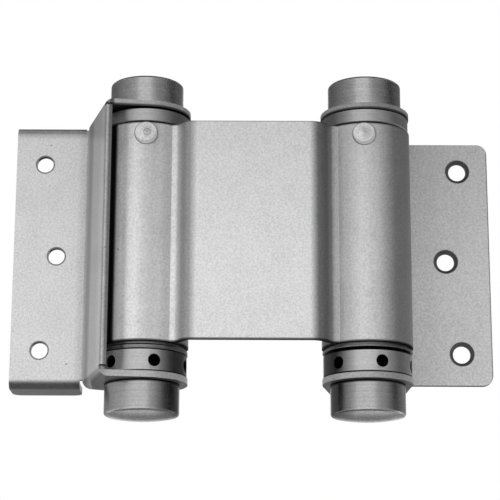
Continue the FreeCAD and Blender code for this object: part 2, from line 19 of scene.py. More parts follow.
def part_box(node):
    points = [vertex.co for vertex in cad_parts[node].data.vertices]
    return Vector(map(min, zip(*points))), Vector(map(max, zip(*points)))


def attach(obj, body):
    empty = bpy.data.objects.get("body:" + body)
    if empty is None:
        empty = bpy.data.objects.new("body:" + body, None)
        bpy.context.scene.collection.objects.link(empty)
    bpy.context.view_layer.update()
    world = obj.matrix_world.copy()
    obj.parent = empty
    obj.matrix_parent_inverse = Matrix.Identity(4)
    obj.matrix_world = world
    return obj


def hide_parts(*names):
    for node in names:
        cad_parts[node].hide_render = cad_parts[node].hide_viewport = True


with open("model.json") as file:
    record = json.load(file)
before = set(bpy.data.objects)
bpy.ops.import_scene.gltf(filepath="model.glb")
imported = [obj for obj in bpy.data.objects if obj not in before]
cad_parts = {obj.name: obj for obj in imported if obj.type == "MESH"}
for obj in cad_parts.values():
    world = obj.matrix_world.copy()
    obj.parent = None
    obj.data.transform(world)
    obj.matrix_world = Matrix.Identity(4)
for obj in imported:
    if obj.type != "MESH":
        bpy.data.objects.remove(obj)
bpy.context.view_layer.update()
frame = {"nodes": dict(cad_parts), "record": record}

MM = 0.001
SIDES = ("jamb", "door")
nodes = frame["nodes"]
bodies = frame["record"]["behaviour"]["bodies"]
owners = {node: body for body, members in bodies.items() for node in members}
slots = {part["node"]: part["material_slot"] for part in frame["record"]["subparts"]}

# %% [markdown]
# ## Where the barrels stand
# Most finishes on a hinge follow its two barrels: turning lines run round them and the rolled
# sheet curves about them. Their axes are read from the end caps, which are turned about them, so
# no number is copied from the CAD by hand.

# %% Barrel axes
def middle(node):
    low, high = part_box(node)
    return (Vector(low) + Vector(high)) / 2


barrel = {side: middle(side + "_top_cap") for side in SIDES}
wrap_low, wrap_high = (Vector(corner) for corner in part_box("centre_plate"))
for side in SIDES:
    barrel[side].z = (wrap_low.z + wrap_high.z) / 2
centre = (barrel["jamb"] + barrel["door"]) / 2
print("barrel spacing in mm:", round((barrel["jamb"] - barrel["door"]).length / MM, 2))

# %% [markdown]
# ## Softened edges
# A CAD solid has perfectly sharp edges, but sheet steel that has been blanked, bent and barrel
# polished has a small round on every edge, and that round is what catches the light as a thin
# bright line. A copy of each solid is welded, its flat facets are joined, and its sharp edges are
# bevelled. Weighted normals then keep the flats flat and the curves smooth.

# %% Helper: welded copies and new objects
WELD = 0.004 * MM
FLAT = math.radians(0.3)
SHARP = math.radians(32)


def welded_copy(node):
    shape = bmesh.new()
    shape.from_mesh(nodes[node].data)
    bmesh.ops.remove_doubles(shape, verts=shape.verts, dist=WELD)
    bmesh.ops.dissolve_limit(shape, angle_limit=FLAT, verts=shape.verts, edges=shape.edges)
    return shape


def sharp_edges(shape):
    return [e for e in shape.edges if len(e.link_faces) == 2 and e.calc_face_angle(0) > SHARP]


def add_object(name, shape):
    mesh = bpy.data.meshes.new(name)
    shape.to_mesh(mesh)
    shape.free()
    mesh.shade_smooth()
    piece = bpy.data.objects.new(name, mesh)
    bpy.context.collection.objects.link(piece)
    return piece


# %% [markdown]
# ## Sheared faces
# A press shears the outline of a sheet, and the sheared face comes out darker than the rolled one.
# Two things give such a face away: it looks up, down or out of a hole, and there is much metal
# behind it, while a rolled face has only the sheet's thickness behind it. A ray cast inwards from
# just inside the face measures that, and a face attribute keeps the answer for the material.

# %% Helper: mark the sheared faces
THICK_LIMIT = 2.4 * MM
INSET = 0.05 * MM
UNDER_SKIN = 0.01 * MM
LEVEL_LIMIT = 0.6


def mark_cut_edges(shape, node):
    mark = shape.faces.layers.float.new("cut_edge")
    tree = BVHTree.FromBMesh(shape)
    count = 0
    for face in shape.faces:
        loop = max(face.loops, key=lambda each: each.edge.calc_length())
        start = loop.vert.co
        stop = loop.link_loop_next.vert.co
        inward = face.normal.cross(stop - start).normalized()
        point = (start + stop) / 2 + inward * INSET - face.normal * UNDER_SKIN
        hit = tree.ray_cast(point, -face.normal)
        up_or_down = abs(face.normal.z) > LEVEL_LIMIT
        in_flat = node == "jamb_leaf" and point.y > -THICK_LIMIT
        thick = hit[3] is not None and hit[3] > THICK_LIMIT
        face[mark] = 1.0 if thick and (up_or_down or in_flat) else 0.0
        count += int(face[mark])
    return count


# %% Helper: a copy of a CAD piece with softened edges
SHEETS = ("centre_plate", "jamb_leaf", "door_leaf")


def soften(node, width):
    shape = welded_copy(node)
    if node in SHEETS:
        print(node, "faces on sheared edges:", mark_cut_edges(shape, node))
    edges = sharp_edges(shape)
    bmesh.ops.bevel(
        shape, geom=edges, offset=width, offset_type="OFFSET", segments=2, profile=0.5,
        affect="EDGES", clamp_overlap=True, material=-1,
    )
    piece = add_object(node + "_softened", shape)
    flats = piece.modifiers.new("flats", "WEIGHTED_NORMAL")
    flats.keep_sharp = True
    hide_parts(node)
    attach(piece, owners[node])
    print(piece.name, "edges rounded:", len(edges), "faces:", len(piece.data.polygons))
    return piece


# %% Soften the sheets and the turned pieces
EDGE_ROUND = {"plated_sheet": 0.16 * MM, "turned_steel": 0.10 * MM}
HIDDEN_INSIDE = [side + "_spring" for side in SIDES] + [side + "_spindle" for side in SIDES]
pieces = {}
for node in nodes:
    if node in HIDDEN_INSIDE:
        pieces[node] = nodes[node]
    else:
        pieces[node] = soften(node, EDGE_ROUND[slots[node]])
print("softened:", len(pieces) - len(HIDDEN_INSIDE), "left as they are:", len(HIDDEN_INSIDE))

# %% [markdown]
# ## Material helpers
# Every finish here is a Principled shader fed by procedural patterns on Object coordinates. A few
# short helpers place nodes and link them, so that each finish reads as a list of its parts.

# %% Helper: shader nodes
def new_material(name):
    material = bpy.data.materials.new(name)
    material.use_nodes = True
    tree = material.node_tree
    return material, tree, tree.nodes["Principled BSDF"]


def feed(tree, socket, value):
    """Gives an input its value, which is a number, a vector or another node's output."""
    if isinstance(value, bpy.types.NodeSocket):
        tree.links.new(value, socket)
    else:
        socket.default_value = value


def place(tree, kind, settings=None, **inputs):
    """Adds a node. Settings are its own options, and inputs are values or sockets to link."""
    node = tree.nodes.new(kind)
    for name, value in (settings or {}).items():
        setattr(node, name, value)
    for name, value in inputs.items():
        feed(tree, node.inputs[name], value)
    return node


def maths(tree, operation, *values):
    node = place(tree, "ShaderNodeMath", {"operation": operation})
    for number, value in enumerate(values):
        feed(tree, node.inputs[number], value)
    return node.outputs[0]


# %% Helper: ranges, distances and levels
RANGE_INPUTS = ("From Min", "From Max", "To Min", "To Max")


def spread(tree, value, low, high, out_low, out_high):
    """Maps a value from one range to another, with its ends held."""
    node = place(tree, "ShaderNodeMapRange", {"clamp": True}, Value=value)
    for name, number in zip(RANGE_INPUTS, (low, high, out_low, out_high)):
        node.inputs[name].default_value = number
    return node.outputs["Result"]


def away_from(tree, value, mark):
    """How far a value is from a mark on its axis, on either side."""
    return maths(tree, "ABSOLUTE", maths(tree, "SUBTRACT", value, mark))


def darker(tree, level, mask, strength):
    """Lowers a level where a mask is on, or raises it if the strength is below 0."""
    return maths(tree, "MULTIPLY", level, maths(tree, "MULTIPLY_ADD", mask, -strength, 1.0))


def grey_from(tree, level):
    """A steel grey: a little bluer than neutral."""
    blue = maths(tree, "MULTIPLY", level, 1.01)
    return place(tree, "ShaderNodeCombineColor", Red=level, Green=level, Blue=blue).outputs["Color"]


# %% Helper: the last nodes of every metal
RELIEF_STRENGTH = 0.3


def finish_metal(tree, shader, level, rough, metallic, relief=None, height=0.0):
    """Relief is a pattern that stands out of the surface by the given height."""
    feed(tree, shader.inputs["Base Color"], grey_from(tree, level))
    feed(tree, shader.inputs["Roughness"], rough)
    feed(tree, shader.inputs["Metallic"], metallic)
    if relief is not None:
        bump = place(
            tree, "ShaderNodeBump", Strength=RELIEF_STRENGTH, Distance=height, Height=relief)
        feed(tree, shader.inputs["Normal"], bump.outputs["Normal"])


# %% Helper: noise
NOISE_LOW, NOISE_HIGH = 0.3, 0.7


def noise(tree, coords, scale, detail, roughness=0.5):
    return place(
        tree, "ShaderNodeTexNoise", Vector=coords, Scale=scale, Detail=detail, Roughness=roughness,
    ).outputs["Fac"]


def noise_between(tree, value, out_low, out_high):
    """Noise seldom leaves its middle range, so that range is what is stretched."""
    return spread(tree, value, NOISE_LOW, NOISE_HIGH, out_low, out_high)


# %% Helper: node groups
def start_group(name):
    group = bpy.data.node_groups.new(name, "ShaderNodeTree")
    group.interface.new_socket("Vector", in_out="INPUT", socket_type="NodeSocketVector")
    return group, group.nodes.new("NodeGroupInput").outputs["Vector"]


def end_group(group, results):
    for name in results:
        group.interface.new_socket(name, in_out="OUTPUT", socket_type="NodeSocketFloat")
    leave = group.nodes.new("NodeGroupOutput")
    for name, value in results.items():
        group.links.new(value, leave.inputs[name])
    print("group:", group.name, "gives", ", ".join(results))
    return group


# %% [markdown]
# ## Plating grain, a shared effect
# Zinc plated sheet looks plain from afar, but close up it has a fine speckle, soft clouds where the
# plating varies, and a few tiny dark pits. The pits are the middles of a few Voronoi cells, chosen
# by the cells' random colour. The three are built once as a node group, and each sheet material
# mixes them in.

# %% Node group: plating grain
PITLESS = 0.93
PIT_CORE, PIT_RIM = 0.04, 0.11


def make_grain_group():
    group, entry = start_group("plating_grain")
    speckle = noise(group, entry, scale=1700.0, detail=2.0, roughness=0.6)
    clouds = noise(group, entry, scale=110.0, detail=3.0, roughness=0.55)
    cells = place(group, "ShaderNodeTexVoronoi", Vector=entry, Scale=300.0, Randomness=1.0).outputs
    chance = place(group, "ShaderNodeSeparateColor", Color=cells["Color"]).outputs["Red"]
    chosen = maths(group, "GREATER_THAN", chance, PITLESS)
    in_pit = spread(group, cells["Distance"], PIT_CORE, PIT_RIM, 1.0, 0.0)
    return end_group(group, {
        "Speckle": noise_between(group, speckle, -1.0, 1.0),
        "Clouds": noise_between(group, clouds, -1.0, 1.0),
        "Pits": maths(group, "MULTIPLY", chosen, in_pit),
    })


plating_grain = make_grain_group()

# %% [markdown]
# ## Turning lines, a shared effect
# A cap that comes off a lathe has fine rings. On its side they lie at one height all round, and on
# its end they lie at one radius. Noise that is read at (radius, height) gives both with one
# pattern, and a slow noise round the part breaks the rings up a little.

# %% Node group: turning lines
def make_turning_group():
    group, entry = start_group("turning_lines")
    at = place(group, "ShaderNodeSeparateXYZ", Vector=entry).outputs
    aside, along = (maths(group, "POWER", at[axis], 2.0) for axis in ("X", "Y"))
    radius = maths(group, "SQRT", maths(group, "ADD", aside, along))
    ring = place(group, "ShaderNodeCombineXYZ", X=radius, Y=at["Z"]).outputs["Vector"]
    lines = noise(group, ring, scale=2400.0, detail=2.0)
    stain = noise(group, entry, scale=160.0, detail=4.0, roughness=0.6)
    grain = noise(group, entry, scale=1900.0, detail=1.0)
    return end_group(group, {
        "Lines": noise_between(group, lines, -1.0, 1.0),
        "Stain": noise_between(group, stain, -1.0, 1.0),
        "Grain": noise_between(group, grain, -1.0, 1.0),
        "Radius": radius,
        "Height": at["Z"],
    })


turning_lines = make_turning_group()

# %% [markdown]
# ## Marks on plated sheet
# Narrow valleys, the gaps beside the barrels, the lips of the door leaf, the seams under the ears,
# the holes and the rivet heads get painted shade, a few places get painted highlights, and some
# borders of the sheets are darker. So a sheet's finish takes three kinds of mark. A band is upright
# and lies in front of a given depth, so that the back of a rolled sheet stays unmarked. A rim
# follows one border. A ring goes round a place, at any depth. A mark is full in its core and fades
# to nothing at its end, and a strength below 0 makes it a painted highlight.

# %% The kinds of mark
EVERYWHERE = 1.0
Band = namedtuple("Band", "across half strength reach", defaults=(EVERYWHERE,))
Rim = namedtuple("Rim", "axis border width strength until", defaults=(EVERYWHERE,))
Ring = namedtuple("Ring", "across up radius half strength")
print("marks:", [kind.__name__ for kind in (Band, Rim, Ring)])

# %% Helper: darken a sheet where its marks are
FRONT_FULL, FRONT_NONE = -1.0 * MM, 5.0 * MM
BAND_CORE, RIM_CORE = 0.35, 0.5
RING_CORE, RING_END = 0.8, 1.1


def with_bands(tree, light, at, bands, depth):
    """Each band reaches only so far up and down from the middle of the hinge."""
    in_front = spread(tree, at["Y"], depth + FRONT_FULL, depth + FRONT_NONE, 1.0, 0.0)
    from_middle = away_from(tree, at["Z"], centre.z)
    for band in bands:
        away = away_from(tree, at["X"], band.across)
        mask = spread(tree, away, band.half * BAND_CORE, band.half, 1.0, 0.0)
        mask = maths(tree, "MULTIPLY", mask, in_front)
        mask = maths(tree, "MULTIPLY", mask, maths(tree, "LESS_THAN", from_middle, band.reach))
        light = darker(tree, light, mask, band.strength)
    return light


def with_rims(tree, light, at, rims):
    """Each rim ends at a place across the hinge."""
    for rim in rims:
        away = away_from(tree, at[rim.axis], rim.border)
        mask = spread(tree, away, rim.width * RIM_CORE, rim.width, 1.0, 0.0)
        mask = maths(tree, "MULTIPLY", mask, maths(tree, "LESS_THAN", at["X"], rim.until))
        light = darker(tree, light, mask, rim.strength)
    return light


def with_rings(tree, light, at, rings):
    for ring in rings:
        aside = maths(tree, "POWER", maths(tree, "SUBTRACT", at["X"], ring.across), 2.0)
        above = maths(tree, "POWER", maths(tree, "SUBTRACT", at["Z"], ring.up), 2.0)
        radius = maths(tree, "SQRT", maths(tree, "ADD", aside, above))
        away = away_from(tree, radius, ring.radius)
        core, end = ring.half * RING_CORE, ring.half * RING_END
        mask = spread(tree, away, core, end, 1.0, 0.0)
        light = darker(tree, light, mask, ring.strength)
    return light


# %% [markdown]
# ## Plated sheet
# The plates and the rivets are steel with a satin plating. The colour stays near one grey, darker
# in the pits, and the roughness moves with the clouds, so that the highlights on the barrels break
# up as they do on real plating. A sheared edge never takes the plating well and stays dark. Each
# sheet gets painted shade towards its top. The ears of a leaf shade what is under them, so faces
# that look down beside a barrel get painted shade, and faces that look to the right, such as the
# hidden face of the strip that the barrel mirrors, get painted light, so that the barrel's
# reflection of the strip is lighter.

# %% Helper: the faces beside a barrel
EAR_REACH = 15.5 * MM
TURNED_FROM, TURNED_FULLY = 0.5, 0.8
UNDER_EAR_SHADE = 0.75
RIGHT_FACE_LIGHT = -0.40


def with_ears(tree, light, at, normal, ears_at):
    facing = place(tree, "ShaderNodeSeparateXYZ", Vector=normal).outputs
    beside = maths(tree, "LESS_THAN", away_from(tree, at["X"], ears_at), EAR_REACH)
    # Painted shade on faces that look down beside a barrel, and painted light on faces that look to
    # the right.
    down = spread(tree, facing["Z"], -TURNED_FROM, -TURNED_FULLY, 0.0, 1.0)
    light = darker(tree, light, maths(tree, "MULTIPLY", beside, down), UNDER_EAR_SHADE)
    right = spread(tree, facing["X"], TURNED_FROM, TURNED_FULLY, 0.0, 1.0)
    return darker(tree, light, right, RIGHT_FACE_LIGHT)


# %% Material: plated sheet
SPECKLE, CLOUDS = 0.11, 0.03
PIT_DARKNESS, EDGE_DARKNESS = 0.70, 0.88
CLOUD_ROUGHNESS, EDGE_ROUGHNESS = 0.04, 0.25
GRAIN_HEIGHT = 0.02 * MM
TOP_SHADE_START, TOP_SHADE_END = -10 * MM, 40 * MM


def make_plated_sheet(
    name, tone, roughness, top_shade=0.0, bands=(), rims=(), rings=(), depth=0.0, ears_at=None,
):
    """The top shade is how much painted shade darkens the sheet towards its top."""
    material, tree, shader = new_material(name)
    coords = place(tree, "ShaderNodeTexCoord").outputs
    at = place(tree, "ShaderNodeSeparateXYZ", Vector=coords["Object"]).outputs
    grain = place(
        tree, "ShaderNodeGroup", {"node_tree": plating_grain}, Vector=coords["Object"],
    ).outputs
    edge = place(tree, "ShaderNodeAttribute", {"attribute_name": "cut_edge"}).outputs["Fac"]
    light = maths(tree, "MULTIPLY_ADD", grain["Speckle"], SPECKLE, tone)
    light = maths(tree, "MULTIPLY_ADD", grain["Clouds"], CLOUDS, light)
    light = darker(tree, light, grain["Pits"], PIT_DARKNESS)
    light = darker(tree, light, edge, EDGE_DARKNESS)
    # Painted shade: the sheet is darker towards its top.
    high = spread(tree, at["Z"], centre.z + TOP_SHADE_START, centre.z + TOP_SHADE_END, 0.0, 1.0)
    light = darker(tree, light, high, top_shade)
    light = with_bands(tree, light, at, bands, depth)
    light = with_rims(tree, light, at, rims)
    light = with_rings(tree, light, at, rings)
    if ears_at is not None:
        light = with_ears(tree, light, at, coords["Normal"], ears_at)
    rough = maths(tree, "MULTIPLY_ADD", grain["Clouds"], CLOUD_ROUGHNESS, roughness)
    rough = maths(tree, "MULTIPLY_ADD", edge, EDGE_ROUGHNESS, rough)
    finish_metal(
        tree, shader, light, rough, metallic=0.5, relief=grain["Speckle"], height=GRAIN_HEIGHT)
    return material


# %% [markdown]
# ## Where the sheets are marked
# Places are measured from the pieces: bands from the axis of their barrel, the rims of the ears
# from the caps that they carry, and the rings from the screw holes that the record lists as mounts.
# On the centre plate the deepest bands of painted shade lie beside the strip of the door leaf and
# in the two valleys beside the web.

# %% Bands
# Painted shade on the centre plate: the black gap beside the door's strip, the valleys beside the
# web and the sides of the barrels. The band with a strength below 0 is a painted highlight where
# the door barrel mirrors the strip.
BARREL_SHADE_AND_LIGHT = {
    # mm to the right of the barrel's axis, half width in mm, strength
    "door": ((-9.6, 1.7, 0.97), (-9.15, 1.0, 0.90), (-7.2, 1.8, -0.45), (1.5, 3.6, 0.16),
             (13.0, 3.4, 0.60)),
    "jamb": ((-13.8, 4.0, 0.73), (-8.2, 6.0, 0.28), (11.0, 8.0, 0.52), (3.0, 18.0, 0.17)),
}
# Painted shade on the strip of the door leaf, in its fold, and along its front edge beside the
# barrel.
STRIP_SHADES = ((-16.0, 6.0, 0.38), (-17.4, 1.3, 0.40))
STRIP_EDGE_SHADES = ((-9.9, 1.0, 0.72), (-11.5, 0.5, 0.45))
SHEET = 1.9 * MM


def bands_beside(side, rows, reach=EVERYWHERE):
    axis = barrel[side].x
    return [Band(axis + across * MM, half * MM, strength, reach) for across, half, strength in rows]


between_ears = centre.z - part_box("door_bottom_cap")[1][2] - SHEET
barrel_shade_and_light = [
    band for side, rows in BARREL_SHADE_AND_LIGHT.items() for band in bands_beside(side, rows)
]
strip_shades = bands_beside("door", STRIP_SHADES) + bands_beside("door", STRIP_EDGE_SHADES, between_ears)
print("bands:", len(barrel_shade_and_light), "on the centre plate,", len(strip_shades), "on the strip")

# %% Rims
EAR_EDGE_BAND, SEAM_SHADE_WIDTH = 1.8 * MM, 0.8 * MM
SEAM_SHADE = 0.85
LIP_EDGE = 5 * MM
PLATE_EDGE = 19.0 * MM


def ear_rims(side, strength):
    """The ears lie between the caps, so the caps tell how high their edges are."""
    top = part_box(side + "_top_cap")[0][2]
    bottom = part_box(side + "_bottom_cap")[1][2]
    # The ears are darker along their edges, and the seam along the underside of the top ear gets
    # painted shade.
    return [
        Rim("Z", top - SHEET / 2, EAR_EDGE_BAND, strength),
        Rim("Z", top - SHEET, SEAM_SHADE_WIDTH, SEAM_SHADE),
        Rim("Z", bottom + SHEET / 2, EAR_EDGE_BAND, strength),
    ]


def door_plate_rims():
    """Painted shade on the lips at the top and bottom of the raised plate, left of the strip."""
    left, _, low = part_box("door_leaf")[0]
    corner = [v.co.z for v in nodes["door_leaf"].data.vertices if v.co.x < left + LIP_EDGE]
    right = barrel["door"].x - PLATE_EDGE
    return [Rim("Z", max(corner), 4.2 * MM, 0.42, right), Rim("Z", low, 3.2 * MM, 0.78, right)]


# The centre plate is darker along its low and high edges, and the jamb leaf along its right edge.
plate_rims = [Rim("Z", wrap_low.z, 0.55 * MM, 0.80), Rim("Z", wrap_high.z, 0.40 * MM, 0.45)]
door_rims = door_plate_rims() + ear_rims("door", 0.30)
jamb_rims = [Rim("X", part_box("jamb_leaf")[1][0], 0.45 * MM, 0.6)] + ear_rims("jamb", 0.40)
print("rims:", len(plate_rims), len(door_rims), len(jamb_rims))

# %% Rings round the screw holes
COUNTERSINK = 3.95 * MM


def hole_places(side):
    """Where the screw holes of a leaf are, across and up, with their radius, from its mounts."""
    mounts = {mount["name"]: mount for mount in frame["record"]["mounts"]}
    pair, single = mounts[side + "_screws"], mounts[side + "_middle"]
    apart = pair["dims"]["spacing_y_mm"] / 2 * MM
    radius = pair["dims"]["hole_r_mm"] * MM
    across, _, up = pair["pos_m"]
    across_single, _, up_single = single["pos_m"]
    places = [(across, up - apart), (across, up + apart), (across_single, up_single)]
    return [(*each, radius) for each in places]


# Painted shade in the countersinks of the jamb leaf, and an outline of painted shade round each
# hole of the door leaf.
sunk = [
    Ring(across, up, (radius + COUNTERSINK) / 2, (COUNTERSINK - radius) / 2, 0.80)
    for across, up, radius in hole_places("jamb")
]
outlined = [Ring(*each, 0.45 * MM, 0.75) for each in hole_places("door")]
print("dark countersinks:", len(sunk), "outlined holes:", len(outlined))

# %% Finishes of the three sheets
sheet_finishes = {
    "centre_plate": make_plated_sheet(
        "centre_plate_zinc", tone=0.69, roughness=0.39, top_shade=0.17, bands=barrel_shade_and_light,
        rims=plate_rims, depth=centre.y - 2 * MM,
    ),
    "door_leaf": make_plated_sheet(
        "door_leaf_zinc", tone=0.63, roughness=0.35, top_shade=0.14, bands=strip_shades,
        rims=door_rims, rings=outlined, ears_at=barrel["door"].x,
    ),
    # The jamb leaf has the same plating as the centre plate; its lower tone is painted shade, as it
    # lies behind its barrel.
    "jamb_leaf": make_plated_sheet(
        "jamb_leaf_zinc", tone=0.60, roughness=0.37, top_shade=0.22, rims=jamb_rims, rings=sunk,
        ears_at=barrel["jamb"].x,
    ),
}
print("sheet materials:", len(sheet_finishes))

# %% [markdown]
# ## Rivets
# Each rivet has the finish of the sheet that it is closed on, a thin outline of painted shade where
# it meets the barrel, and a soft painted shadow on the lower part of its head. The punch left a
# small round mark near the middle of the rivet on the door's side. That mark could be cut into the
# mesh, but it is as shallow as a scratch, so a ring in the material is enough.

# %% Finishes of the rivets
def rivet_rings(side):
    low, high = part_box(side + "_rivet")
    head = middle(side + "_rivet")
    radius = (high[0] - low[0]) / 2
    # The first ring is an outline of painted shade, the second a painted shadow, and the third, on
    # the door's side, the punch mark.
    rings = [
        Ring(head.x, head.z, radius, 0.22 * MM, 0.60),
        Ring(head.x - 0.2 * MM, head.z + 0.7 * MM, radius, 0.45 * MM, 0.30),
    ]
    if side == "door":
        rings.append(Ring(head.x + 0.3 * MM, head.z + 0.2 * MM, 1.0 * MM, 0.16 * MM, 0.40))
    return rings


for side in SIDES:
    sheet_finishes[side + "_rivet"] = make_plated_sheet(
        side + "_rivet_zinc", tone=0.62, roughness=0.45, rings=rivet_rings(side))
print("rivet materials:", [name for name in sheet_finishes if name.endswith("rivet")])

# %% [markdown]
# ## Turned steel
# The caps, plugs and collars are smoother and darker, so they mirror the light tent in upright
# bands. The fine rings are a bump, which smears the reflection up and down but leaves its left and
# right edges crisp, just as a lathe finish does. Two things get near black painted shade: what lies
# inside a given radius, such as the walls of the bar holes, and thin seams at a piece's low or high
# end, where it sits on the next. Each barrel stands in the other's shade, so a piece gets painted
# shade on its inner side, and its left side gets painted shade, and painted light where that value
# is below 0. The border of a domed end gets a painted highlight.

# %% Helper: where the painted shade in recesses and joints is
SHADE_EASE = 0.25
SEAM_CORE = 0.5


def recess_shade_mask(tree, turning, node, axis_z, shaded_inside, seam_low, seam_high):
    low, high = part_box(node)
    inner, outer = (shaded_inside - SHADE_EASE) * MM, shaded_inside * MM
    # Painted shade, near black, on what lies inside the given radius and on thin seams where a
    # piece sits on the next.
    shaded = spread(tree, turning["Radius"], inner, outer, 1.0, 0.0)
    for height, half in ((low[2], seam_low * MM), (high[2], seam_high * MM)):
        if half:
            away = away_from(tree, turning["Height"], height - axis_z)
            seam = spread(tree, away, half * SEAM_CORE, half, 1.0, 0.0)
            shaded = maths(tree, "MAXIMUM", shaded, seam)
    return shaded


# %% Helper: painted shade on the left and inner side, and a painted highlight on the border of a dome
LEFT_START, LEFT_END = -4.0 * MM, -9.5 * MM
INNER_START, INNER_END = 4.0 * MM, 10.0 * MM
BORDER_FULL, BORDER_NONE = 0.25 * MM, 0.9 * MM
BORDER_LIGHT = -0.35


def shade_sides(tree, level, about, side, left, inner):
    """Left and inner say how much painted shade darkens a piece there, seen from its barrel's axis;
    a value below 0 is painted light.
    """
    aside = place(tree, "ShaderNodeSeparateXYZ", Vector=about).outputs["X"]
    inwards = maths(tree, "MULTIPLY", aside, 1.0 if side == "door" else -1.0)
    level = darker(tree, level, spread(tree, aside, LEFT_START, LEFT_END, 0.0, 1.0), left)
    return darker(tree, level, spread(tree, inwards, INNER_START, INNER_END, 0.0, 1.0), inner)


# A painted highlight along the border of a domed end.
def light_dome_border(tree, level, turning, border):
    away = away_from(tree, turning["Height"], border)
    return darker(tree, level, spread(tree, away, BORDER_FULL, BORDER_NONE, 1.0, 0.0), BORDER_LIGHT)


# %% Material: turned steel
RECESS_SHADE = 0.96
LINES, STAIN, GRAIN = 0.05, 0.035, 0.035
STAIN_ROUGHNESS, RECESS_ROUGHNESS = 0.05, 0.2
LINE_HEIGHT = 0.01 * MM


def make_turned_steel(
    node, side, tone, roughness, shaded_inside=0.0, seam_low=0.0, seam_high=0.0,
    door=(0.0, 0.0), jamb=(0.0, 0.0), dome=0.0,
):
    """Sizes are in mm. Door and jamb say how much painted shade darkens a piece on its left and
    inner side; a value below 0 is painted light.
    """
    material, tree, shader = new_material(node + "_steel")
    coords = place(tree, "ShaderNodeTexCoord").outputs["Object"]
    about = place(tree, "ShaderNodeMapping", Vector=coords, Location=-barrel[side]).outputs[0]
    turning = place(tree, "ShaderNodeGroup", {"node_tree": turning_lines}, Vector=about).outputs
    level = maths(tree, "MULTIPLY_ADD", turning["Lines"], LINES, tone)
    level = maths(tree, "MULTIPLY_ADD", turning["Stain"], STAIN, level)
    level = maths(tree, "MULTIPLY_ADD", turning["Grain"], GRAIN, level)
    axis_z = barrel[side].z
    shaded = recess_shade_mask(tree, turning, node, axis_z, shaded_inside, seam_low, seam_high)
    level = darker(tree, level, shaded, RECESS_SHADE)
    level = shade_sides(tree, level, about, side, *(door if side == "door" else jamb))
    if dome:
        level = light_dome_border(tree, level, turning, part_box(node)[0][2] + dome * MM - axis_z)
    rough = maths(tree, "MULTIPLY_ADD", turning["Stain"], STAIN_ROUGHNESS, roughness)
    rough = maths(tree, "MULTIPLY_ADD", shaded, RECESS_ROUGHNESS, rough)
    finish_metal(
        tree, shader, level, rough, metallic=1.0, relief=turning["Lines"], height=LINE_HEIGHT)
    return material


# %% A turned finish for every turned piece
# Door and jamb: painted shade on the left and inner side, painted light where a value is below 0.
# Seams: painted shade where pieces meet. Dome: a painted highlight on its border.
TURNED = {
    "top_cap": dict(tone=0.47, roughness=0.25, seam_low=0.50, door=(0.45, 0.0), jamb=(0.45, 0.0)),
    "bottom_cap": dict(
        tone=0.46, roughness=0.25, seam_high=0.85, door=(0.25, 0.80), jamb=(0.25, 0.80), dome=1.2),
    "plug": dict(
        tone=0.52, roughness=0.40, shaded_inside=12.7, seam_high=0.25,
        door=(-0.85, 0.45), jamb=(0.0, 0.65)),
    # The bushing and the thrust ring are dark steel, and their low tones also stand in as painted
    # shade for the grooves between the wrap and the collar.
    "bushing": dict(tone=0.20, roughness=0.40, shaded_inside=12.6),
    "thrust_ring": dict(tone=0.26, roughness=0.34, shaded_inside=13.2),
    "collar": dict(
        tone=0.60, roughness=0.40, shaded_inside=13.2, seam_low=0.45,
        door=(-0.60, 0.80), jamb=(0.0, 0.88)),
    "spindle": dict(tone=0.20, roughness=0.40, shaded_inside=5.0),
}
turned_finishes = {}
for side in SIDES:
    for kind, look in TURNED.items():
        node = side + "_" + kind
        turned_finishes[node] = make_turned_steel(node, side, **look)
print("turned materials:", len(turned_finishes))

# %% [markdown]
# ## Spring wire
# The two springs are wound from wire that is black with oil, and almost nothing of them shows. One
# slow noise drives both the colour and the roughness, so that the oiliest places are also the
# smoothest.

# %% Material: spring wire
def make_spring_wire(name):
    material, tree, shader = new_material(name)
    coords = place(tree, "ShaderNodeTexCoord").outputs["Object"]
    oil = noise(tree, coords, scale=400.0, detail=4.0)
    level = noise_between(tree, oil, 0.03, 0.07)
    rough = noise_between(tree, oil, 0.35, 0.55)
    finish_metal(tree, shader, level, rough, metallic=1.0)
    return material


spring_wire = make_spring_wire("spring_wire")
print("material:", spring_wire.name)

# %% Give every piece its finish
def finish_for(node):
    if node in sheet_finishes:
        return sheet_finishes[node]
    if node.endswith("spring"):
        return spring_wire
    return turned_finishes[node]


for node, piece in pieces.items():
    piece.data.materials.clear()
    piece.data.materials.append(finish_for(node))
print("pieces finished:", len(pieces))

# %% [markdown]
# ## The light tent
# The hinge was photographed in white space, looking up at it a little. The world is white where
# the camera, a mirror or glass sees it, and dimmer as a lamp, so the white stays out of the
# exposure.

# %% World
LAMP_LEVEL = 0.35


def make_world():
    world = bpy.data.worlds.new("light_tent")
    bpy.context.scene.world = world
    world.use_nodes = True
    tree = world.node_tree
    background = tree.nodes["Background"]
    rays = place(tree, "ShaderNodeLightPath").outputs
    seen = maths(tree, "MAXIMUM", rays["Is Camera Ray"], rays["Is Glossy Ray"])
    seen = maths(tree, "MAXIMUM", seen, rays["Is Transmission Ray"])
    level = spread(tree, seen, 0.0, 1.0, LAMP_LEVEL, 1.0)
    tree.links.new(level, background.inputs["Strength"])
    background.inputs["Color"].default_value = (1.0, 1.0, 1.0, 1.0)
    return world


print("world:", make_world().name, "with lamp level", LAMP_LEVEL)

# %% [markdown]
# ## Screens
# Two curved screens stand at the sides, grey near the front and almost black at the sides, to draw
# the dark upright bands that make round metal look round. A dark canopy above, and a dark table
# below with another one behind it, do the same for everything that faces up or down. All of them
# glow by a fixed amount, so that a reflection of them has a known brightness, and only reflections
# see them.

